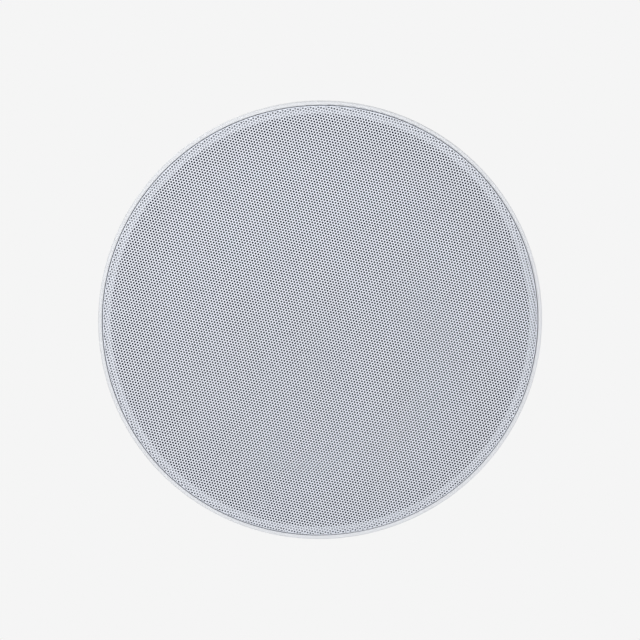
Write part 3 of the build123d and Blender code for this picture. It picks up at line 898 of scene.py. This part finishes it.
@dataclass
class Woofer:
    """The bass driver, with its soft rings.

    Attributes:
        roll: Mid radius of the surround's roll.
        roll_faces: Faces across the roll.
        roll_parts: Sectors of the surround.
        rubber: Thickness of the surround.
        lap: Width of the surround's lip on the cone.
        give: Not used; a point on the surround, outwards from the roll's middle in roll radii.
        ridges: Ridges of the spider.
        spider_parts: Sectors of the spider.
        cloth: Thickness of the spider.
        glue: Width of the spider's flat inner edge.
        seat: Width of the spider's flat outer edge.
        hold: Not used; a share of the radius that the spider's ridges end at.
        crease: Angle in degrees up to which the spider's ridges look round.
        sector_faces: Faces along a sector.
        corner: Angle in radians above which an edge of the gasket is rounded.
        soft: Width of that rounding.
        soft_faces: Faces across it.
    """

    roll: float = 0.006
    roll_faces: int = 14
    roll_parts: int = 16
    rubber: float = 0.0008
    lap: float = 0.0027
    give: float = 0.75
    ridges: int = 4
    spider_parts: int = 12
    cloth: float = 0.0005
    glue: float = 0.003
    seat: float = 0.0034
    hold: float = 0.96
    crease: float = 75.0
    sector_faces: int = 12
    corner: float = 1.0
    soft: float = 0.00015
    soft_faces: int = 2

    def build(self) -> None:
        """Dresses the driver and makes its soft rings."""
        dress(BLACK_PAINT, "basket")
        dress(BLACK_ZINC, "basket_screws")
        dress(POLY_CONE, "cone", "dust_cap")
        dress(FOIL, "coil_former")
        dress(FINE_COPPER, "voice_coil")
        dress(ZINC, "top_plate", "back_plate")
        dress(FERRITE, "ring_magnet")
        dress(SCREW_ZINC, "motor_screws")
        dress(PHENOLIC, "tag_strip")
        dress(TINNED, "coil_tags")
        self._gasket()
        self._surround()
        self._spider()

    def _gasket(self) -> None:
        """The foam gasket, its edges softened."""
        mesh = bmesh.new()
        mesh.from_mesh(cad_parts["basket_gasket"].data)
        bmesh.ops.remove_doubles(mesh, verts=mesh.verts, dist=TOUCH)
        rims = [edge for edge in mesh.edges if edge.calc_face_angle(0) > self.corner]
        bmesh.ops.bevel(mesh, geom=rims, offset=self.soft, segments=self.soft_faces, profile=0.5,
                        affect="EDGES", material=-1, clamp_overlap=True)
        made = settle(mesh, "basket_gasket_foam", FOAM)
        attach(made, "frame")
        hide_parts("basket_gasket")

    def _sector(self, mesh: bmesh.types.BMesh, parts: int, part: int, wall: float) -> None:
        """Sweeps a line through one sector and gives it a wall.

        Args:
            mesh: The line, in the XZ plane.
            parts: Sectors in the ring.
            part: Number of the sector.
            wall: Thickness, added towards the front.
        """
        wide = math.tau / parts
        start = Matrix.Rotation((part - 0.5) * wide, 3, "Z")
        bmesh.ops.rotate(mesh, verts=mesh.verts, cent=ORIGIN, matrix=start)
        bmesh.ops.spin(mesh, geom=everything(mesh), cent=ORIGIN, axis=AXIS, angle=wide,
                       steps=self.sector_faces)
        bmesh.ops.recalc_face_normals(mesh, faces=mesh.faces)
        if sum(face.normal.z for face in mesh.faces) < 0:
            bmesh.ops.reverse_faces(mesh, faces=mesh.faces)
        bmesh.ops.solidify(mesh, geom=list(mesh.faces), thickness=wall)

    def _bend(
        self, made: bpy.types.Object
    ) -> None:
        """Bakes a sector's placement into its mesh.

        Args:
            made: The sector.
        """
        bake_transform(made)

    def _surround(self) -> None:
        """The rubber half roll with its two flat lips."""
        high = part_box("surround")[1]
        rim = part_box("cone")[1].x
        level = high.z
        middle = rim + self.rubber + self.roll
        for part in range(self.roll_parts):
            mesh = bmesh.new()
            chain(mesh, [(middle + self.roll, level)])
            bmesh.ops.spin(mesh, geom=everything(mesh), cent=(middle, 0, level), axis=(0, 1, 0),
                           angle=math.pi, steps=self.roll_faces)
            ends = [vert for vert in mesh.verts if abs(vert.co.z - level) < TOUCH]
            outer = max(ends, key=lambda vert: vert.co.x)
            inner = min(ends, key=lambda vert: vert.co.x)
            for end, reach in ((outer, high.x), (inner, rim - self.lap)):
                grown = bmesh.ops.extrude_vert_indiv(mesh, verts=[end])["verts"]
                bmesh.ops.translate(mesh, verts=grown, vec=(reach - end.co.x, 0, 0))
            self._sector(mesh, self.roll_parts, part, self.rubber)
            made = settle(mesh, f"surround_{part + 1:02d}", RUBBER)
            self._bend(made)
            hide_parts("surround")

    def _spider(self) -> None:
        """The corrugated cloth between the coil and the basket."""
        low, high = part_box("spider")
        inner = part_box("coil_former")[1].x
        first = inner + self.glue
        last = high.x - self.seat
        folds = 2 * self.ridges
        step = (last - first) / folds
        level = high.z
        drop = high.z - low.z - self.cloth
        line = [(inner, level), (first, level)]
        line += [(first + k * step, level - drop * (k % 2)) for k in range(1, folds)]
        line += [(last, level), (high.x, level)]
        for part in range(self.spider_parts):
            mesh = bmesh.new()
            chain(mesh, line)
            self._sector(mesh, self.spider_parts, part, self.cloth)
            made = settle(mesh, f"spider_{part + 1:02d}", SPIDER_CLOTH, self.crease)
            self._bend(made)
            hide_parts("spider")


@dataclass
class Tweeter:
    """The treble unit on its bridge across the woofer."""

    def build(self) -> None:
        """Dresses the bridge, the ball housing and the motor."""
        dress(BLACK_MOULDING, "tweeter_bridge", "tweeter_housing", "tweeter_face")
        dress(BLACK_ZINC, "bridge_screws")
        dress(SCREW_ZINC, "pivot_pins")
        dress(SILK, "tweeter_dome")
        dress(FINE_COPPER, "tweeter_coil")
        dress(ZINC, "tweeter_cup", "tweeter_pole")
        dress(NICKEL, "tweeter_magnet")


@dataclass
class Clamps:
    """The four screws, bushes and swinging dogs that hold the speaker in the ceiling.

    Attributes:
        count: How many clamps there are.
        lead: Rise of the thread in one turn.
        crest: Radius of the thread's crest.
        root: Radius of the thread's root.
        foot: Width of the thread's ridge at its root.
        land: Width of the ridge at its crest.
        facets: Faces in one turn.
        head: Length of screw below the thread.
        tip: Length of screw above the thread.
    """

    count: int = 4
    lead: float = 0.002
    crest: float = 0.00248
    root: float = 0.00215
    foot: float = 0.0012
    land: float = 0.00024
    facets: int = 28
    head: float = 0.0045
    tip: float = 0.001

    def build(self) -> None:
        """Dresses each clamp and winds its thread."""
        for number in range(1, self.count + 1):
            dress(SCREW_ZINC, f"clamp_screw_{number}")
            dress(BRASS, f"clamp_bush_{number}")
            dress(NYLON, f"clamp_dog_{number}")
            self._thread(number)

    def _thread(self, number: int) -> None:
        """Winds the thread's ridge round one screw.

        Args:
            number: Number of the clamp.
        """
        low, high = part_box(f"clamp_screw_{number}")
        axis = (low + high) / 2
        start = low.z + self.head
        turns = int((high.z - self.tip - start) / self.lead)
        mesh = bmesh.new()
        chain(mesh, [
            (self.root, start),
            (self.crest, start + (self.foot - self.land) / 2),
            (self.crest, start + (self.foot + self.land) / 2),
            (self.root, start + self.foot),
        ])
        bmesh.ops.spin(mesh, geom=everything(mesh), cent=ORIGIN, axis=AXIS, angle=turns * math.tau,
                       dvec=(0, 0, self.lead / self.facets), steps=turns * self.facets)
        bmesh.ops.translate(mesh, verts=mesh.verts, vec=(axis.x, axis.y, 0))
        bmesh.ops.recalc_face_normals(mesh, faces=mesh.faces)
        made = settle(mesh, f"clamp_thread_{number}", SCREW_ZINC)
        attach(made, f"clamp_screw_{number}")


@dataclass
class Crossover:
    """The circuit board behind the magnet, with its parts and the wire terminals.

    Attributes:
        wire: Radius of the parts' leads.
        sides: Faces round a lead.
        stub: Straight length of a lead before its bend.
        bend: Radius of a lead's bend.
        bend_faces: Faces along the bend.
        solder: Height of the solder's tip above the board, in wire radii.
        slope: Height of the solder's cone, in wire radii.
        spread: Width of the solder's foot, in wires.
    """

    wire: float = 0.00035
    sides: int = 10
    stub: float = 0.0003
    bend: float = 0.0009
    bend_faces: int = 6
    solder: float = 2.0
    slope: float = 1.8
    spread: float = 2.6

    def build(self) -> None:
        """Dresses the board and its parts, and adds their leads."""
        dress(NYLON, "board_posts")
        dress(BOARD, "crossover_board")
        dress(SCREW_ZINC, "board_screws")
        dress(BLACK_MOULDING, "inductor_bobbin", "terminal_block")
        dress(COPPER, "inductor_winding")
        dress(FILM, "capacitors")
        dress(CERAMIC, "resistor")
        dress(RED_KEY, "terminal_key_red")
        dress(BLACK_KEY, "terminal_key_black")
        self._leads()

    def _leads(self) -> None:
        """The tinned leads from the parts' ends down to the board."""
        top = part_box("crossover_board")[1].z
        mesh = bmesh.new()
        low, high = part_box("capacitors")
        radius = (high.z - low.z) / 2
        for y in (low.y + radius, high.y - radius):
            self._pair(mesh, low.x, high.x, y, low.z + radius, top)
        low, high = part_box("resistor")
        self._pair(mesh, low.x, high.x, (low.y + high.y) / 2, (low.z + high.z) / 2, top)
        bmesh.ops.recalc_face_normals(mesh, faces=mesh.faces)
        made = settle(mesh, "part_leads", TINNED)
        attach(made, "frame")

    def _pair(
        self, mesh: bmesh.types.BMesh, low: float, high: float, y: float, z: float, top: float
    ) -> None:
        """The two leads of one part.

        Args:
            mesh: The mesh to add to.
            low: The part's lower end along X.
            high: Its upper end along X.
            y: Its middle along Y.
            z: Its middle along Z.
            top: The board's upper face.
        """
        for side, x in ((Side.LOW, low), (Side.HIGH, high)):
            self._lead(mesh, Vector((x, y, z)), side, top)

    def _lead(self, mesh: bmesh.types.BMesh, start: Vector, side: Side, top: float) -> None:
        """One lead: a stub, a bend and a drop to a solder joint.

        Args:
            mesh: The mesh to add to.
            start: Where it leaves the part.
            side: The end of the part that it leaves.
            top: The board's upper face.
        """
        out = side.value * self.stub
        place = Matrix.Translation(start) @ Matrix.Rotation(math.pi / 2, 4, "Y")
        ring = bmesh.ops.create_circle(mesh, segments=self.sides, radius=self.wire, matrix=place)
        end = self._pull(mesh, ring["verts"], (out, 0, 0))
        centre = start + Vector((out, 0, -self.bend))
        turned = bmesh.ops.spin(mesh, geom=[*end, *self._loop(end)], cent=centre, axis=(0, 1, 0),
                                angle=side.value * math.pi / 2, steps=self.bend_faces)
        end = [part for part in turned["geom_last"] if isinstance(part, bmesh.types.BMVert)]
        drop = top + self.solder * self.wire - (start.z - self.bend)
        end = self._pull(mesh, end, (0, 0, drop))
        foot = self._pull(mesh, end, (0, 0, -self.slope * self.wire))
        middle = sum((vert.co for vert in foot), Vector()) / len(foot)
        bmesh.ops.scale(mesh, verts=foot, vec=(self.spread, self.spread, 1),
                        space=Matrix.Translation(-middle))

    def _loop(self, ring: Verts) -> list[bmesh.types.BMEdge]:
        """The edges between a ring's own vertices."""
        known = set(ring)
        edges = (edge for vert in ring for edge in vert.link_edges)
        return list(dict.fromkeys(edge for edge in edges if known.issuperset(edge.verts)))

    def _pull(self, mesh: bmesh.types.BMesh, ring: Verts, move: Sequence[float]) -> Verts:
        """Extends a tube from its end ring.

        Args:
            mesh: The mesh.
            ring: The end's vertices.
            move: How far it goes.

        Returns:
            The new end's vertices.
        """
        grown = bmesh.ops.extrude_edge_only(mesh, edges=self._loop(ring))["geom"]
        end = [part for part in grown if isinstance(part, bmesh.types.BMVert)]
        bmesh.ops.translate(mesh, verts=end, vec=move)
        return end


@dataclass(frozen=True)
class Lamp:
    """A soft square lamp aimed at the speaker.

    Attributes:
        name: The lamp's name.
        place: Where it hangs.
        size: Width of its face.
        power: Its power in watts.
    """

    name: str
    place: tuple[float, float, float]
    size: float
    power: float

    def build(self) -> None:
        """Hangs the lamp."""
        data = bpy.data.lights.new(self.name, "AREA")
        data.energy = self.power
        data.size = self.size
        made = bpy.data.objects.new(self.name, data)
        made.location = self.place
        made.rotation_euler = (-Vector(self.place)).to_track_quat("-Z", "Y").to_euler()
        made.visible_camera = False
        bpy.context.scene.collection.objects.link(made)


@dataclass
class Studio:
    """A pale floor, soft lamps and the camera.

    Attributes:
        lamps: The lamps below and above the ceiling's plane.
        ambient: Strength of the light from all sides.
        backdrop: Brightness of what the camera sees behind the speaker.
        paper: Brightness of the floor near the speaker.
        near: Distance at which the floor starts to fade into the backdrop.
        far: Distance at which it has faded.
        spread: Distance from the floor's middle to its edge.
        tiles: Faces along the floor's edge.
        tilt: Angle between the view and the speaker's axis in degrees.
        lean: Direction that the camera is moved to, in the ceiling's plane.
        distance: From the camera to the grille.
        lens: Focal length in millimetres.
        sensor: Width of the camera's sensor in millimetres.
        shift: Where the camera is aimed, from the grille's middle.
    """

    lamps: tuple[Lamp, ...] = (
        Lamp("key_below", (-0.3, -0.27, -0.82), 0.7, 4.45),
        Lamp("fill_below", (1.1, 0.5, -1.0), 1.1, 4.0),
        Lamp("key_above", (-0.9, -1.1, 1.4), 1.0, 12.0),
        Lamp("fill_above", (1.3, 0.5, 1.0), 1.2, 5.0),
        Lamp("rear_above", (-0.4, 1.5, 1.1), 1.2, 7.0),
    )
    ambient: float = 0.52
    backdrop: float = 0.913
    paper: float = 0.72
    near: float = 0.25
    far: float = 1.1
    spread: float = 12.0
    tiles: int = 4
    tilt: float = 9.8
    lean: tuple[float, float] = (-0.203, -0.979)
    distance: float = 1.38
    lens: float = 150.0
    sensor: float = 36.0
    shift: tuple[float, float] = (-0.0004, -0.0017)

    def build(self) -> None:
        """Sets up the stage."""
        bpy.context.scene.view_settings.view_transform = "Standard"
        self._world()
        self._floor()
        for lamp in self.lamps:
            lamp.build()
        self._camera()

    def _world(self) -> None:
        """A pale backdrop, and an even light from it."""
        world = bpy.data.worlds.new("studio")
        world.use_nodes = True
        bpy.context.scene.world = world
        graph = Graph(world.node_tree)
        path = graph.node("ShaderNodeLightPath", {}, {})
        camera, gloss, glass = (
            Value(graph, path.outputs[name])
            for name in ("Is Camera Ray", "Is Glossy Ray", "Is Transmission Ray")
        )
        even = {"Color": grey(1.0), "Strength": self.ambient}
        soft = graph.value("ShaderNodeBackground", {}, even)
        pale = {"Color": grey(self.backdrop), "Strength": 1.0}
        shown = graph.value("ShaderNodeBackground", {}, pale)
        mixed = {0: camera + gloss + glass, 1: soft, 2: shown}
        both = graph.value("ShaderNodeMixShader", {}, mixed)
        graph.node("ShaderNodeOutputWorld", {}, {"Surface": both})

    def _floor(self) -> None:
        """A pale floor under the speaker."""
        mesh = bmesh.new()
        place = Matrix.Translation((0, 0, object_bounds()[0].z))
        bmesh.ops.create_grid(mesh, x_segments=self.tiles, y_segments=self.tiles, size=self.spread,
                              matrix=place)
        data = bpy.data.meshes.new("floor")
        mesh.to_mesh(data)
        mesh.free()
        made = bpy.data.objects.new("floor", data)
        bpy.context.scene.collection.objects.link(made)
        made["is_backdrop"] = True
        data.materials.append(self._paper())

    def _paper(self) -> bpy.types.Material:
        """The floor's paper, which shows from above and is clear from below.

        Returns:
            The material.
        """
        material = bpy.data.materials.new("floor")
        material.use_nodes = True
        graph = Graph(material.node_tree)
        camera = graph.value("ShaderNodeLightPath", {}, {}, "Is Camera Ray")
        under = graph.value("ShaderNodeNewGeometry", {}, {}, "Backfacing")
        clear = graph.value("ShaderNodeBsdfTransparent", {}, {})
        close = graph.value("ShaderNodeBsdfDiffuse", {}, {"Color": grey(self.paper)})
        distant = graph.value("ShaderNodeEmission", {}, {"Color": grey(self.backdrop)})
        place = graph.value("ShaderNodeTexCoord", {}, {}, "Object")
        reach = graph.value("ShaderNodeVectorMath", {"operation": "LENGTH"}, {0: place}, "Value")
        limits = {"Value": reach, "From Min": self.near, "From Max": self.far}
        fade = graph.value("ShaderNodeMapRange", {"interpolation_type": "SMOOTHSTEP"}, limits)
        top = graph.value("ShaderNodeMixShader", {}, {0: fade, 1: close, 2: distant})
        mixed = {0: camera * (1 - under), 1: clear, 2: top}
        both = graph.value("ShaderNodeMixShader", {}, mixed)
        graph.node("ShaderNodeOutputMaterial", {}, {"Surface": both})
        return material

    def _camera(self) -> None:
        """A camera below the ceiling, looking up at the grille."""
        data = bpy.data.cameras.new("camera")
        data.lens = self.lens
        data.sensor_width = self.sensor
        made = bpy.data.objects.new("camera", data)
        target = Vector((*self.shift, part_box("grille")[0].z))
        slope = math.radians(self.tilt)
        sideways = (math.sin(slope) * part for part in self.lean)
        back = Vector((*sideways, -math.cos(slope))).normalized()
        right = (Vector((1, 0, 0)) - back * back.x).normalized()
        up = back.cross(right)
        turn = Matrix((right, up, back)).transposed().to_4x4()
        made.matrix_world = Matrix.Translation(target + back * self.distance) @ turn
        bpy.context.scene.collection.objects.link(made)
        bpy.context.scene.camera = made


def main() -> None:
    """Builds every sub-assembly and the studio."""
    logging.basicConfig(level=logging.INFO, format="%(message)s")
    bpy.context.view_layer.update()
    for part in (Grille(), Moulding(), Woofer(), Tweeter(), Clamps(), Crossover(), Studio()):
        LOG.info("building %s", type(part).__name__)
        part.build()


if __name__ == "__main__":
    main()
